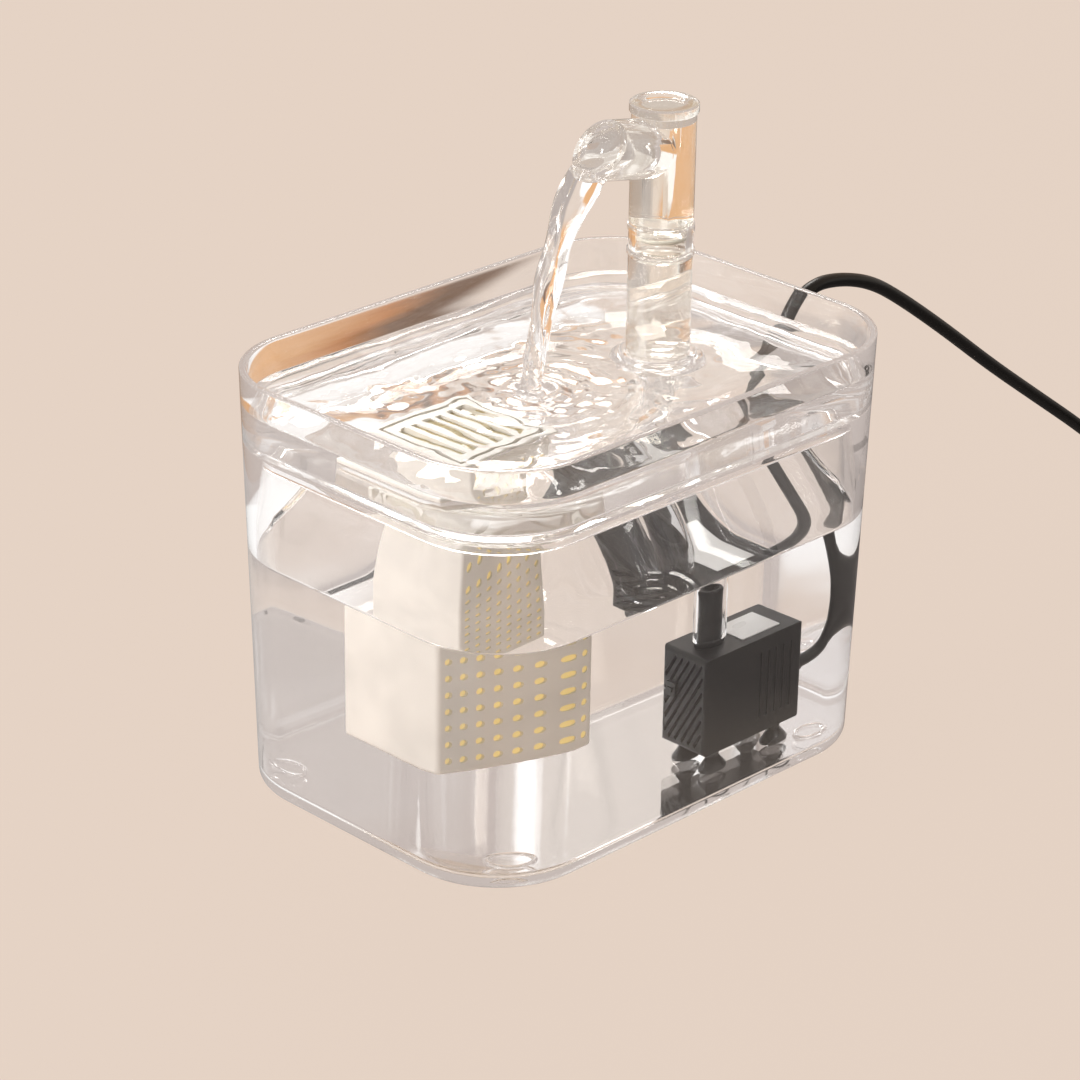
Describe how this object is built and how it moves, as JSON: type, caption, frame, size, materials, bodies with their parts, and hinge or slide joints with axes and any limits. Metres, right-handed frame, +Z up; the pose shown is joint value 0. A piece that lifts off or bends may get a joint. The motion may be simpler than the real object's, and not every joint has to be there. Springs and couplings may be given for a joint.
{
  "type": "pet water fountain",
  "caption": "Clear box-shaped pet water fountain with a drinking tray on a tank, a swivelling tap, a hanging filter box and a submersible pump on a cord.",
  "frame": {"origin": "on the table under the middle of the tank", "axes": "+X along the tank's long side towards the end that the cord leaves, +Z up; the spout points along -X"},
  "size_m": [0.4562, 0.1393, 0.2042],
  "materials": {
    "clear_tank": "clear moulded plastic, polished",
    "clear_tray": "clear moulded plastic, polished",
    "clear_tap": "clear moulded plastic, polished",
    "seal_rubber": "soft pale silicone",
    "white_plastic": "satin moulded plastic",
    "sponge": "open-cell foam",
    "carbon": "granules",
    "cotton": "matted filter cotton",
    "pump_black": "satin moulded plastic",
    "impeller_plastic": "moulded plastic",
    "magnet": "sintered",
    "shaft_steel": "ground",
    "bush_rubber": "matte",
    "clear_hose": "clear soft tube",
    "cup_rubber": "glossy soft rubber",
    "label_white": "bare printed film",
    "cord_black": "satin",
    "plug_metal": "bright nickel"
  },
  "bodies": {
    "root": {"tank": "clear_tank", "pump_housing": "pump_black", "volute_plate": "pump_black", "rotor_shaft": "shaft_steel", "front_bush": "bush_rubber", "rear_bush": "bush_rubber", "outlet_nozzle": "pump_black", "outlet_hose": "clear_hose", "suction_cups": "cup_rubber", "pump_label": "label_white", "cord_gland": "cord_black", "cord_lead": "cord_black", "cord_coil": "cord_black", "cord_tail": "cord_black", "plug_body": "cord_black", "plug_shell": "plug_metal"},
    "tray": {"tray": "clear_tray"},
    "column": {"tap_column": "clear_tap", "tap_seal": "seal_rubber"},
    "head": {"tap_head": "clear_tap", "tap_cap": "clear_tap"},
    "filter": {"filter_box": "white_plastic", "filter_sponge": "sponge", "filter_carbon": "carbon", "filter_cotton": "cotton"},
    "filter_lid": {"filter_lid": "white_plastic"},
    "pump_cover": {"pump_front_cover": "pump_black"},
    "slider": {"flow_slider": "pump_black"},
    "rotor": {"impeller": "impeller_plastic", "rotor_magnet": "magnet"}
  },
  "joints": [
    {"name": "tray_lift", "type": "slide", "parent": "root", "child": "tray", "axis": [0, 0, 1], "range_m": [0, 0.12]},
    {"name": "tap_pull", "type": "slide", "parent": "tray", "child": "column", "axis": [0, 0, 1], "range_m": [0, 0.02]},
    {"name": "tap_swivel", "type": "hinge", "parent": "column", "child": "head", "pos_m": [0.042, 0, 0.18], "axis": [0, 0, 1], "range_deg": [-60, 60]},
    {"name": "filter_lift", "type": "slide", "parent": "tray", "child": "filter", "axis": [0, 0, 1], "range_m": [0, 0.1]},
    {"name": "lid_lift", "type": "slide", "parent": "filter", "child": "filter_lid", "axis": [0, 0, 1], "range_m": [0, 0.02]},
    {"name": "cover_pull", "type": "slide", "parent": "root", "child": "pump_cover", "axis": [-1, 0, 0], "range_m": [0, 0.01]},
    {"name": "flow_adjust", "type": "slide", "parent": "pump_cover", "child": "slider", "axis": [0, -1, 0], "range_m": [0, 0.004]},
    {"name": "rotor_spin", "type": "hinge", "parent": "root", "child": "rotor", "pos_m": [0.036, -0.024, 0.026], "axis": [1, 0, 0], "continuous": true}
  ]
}
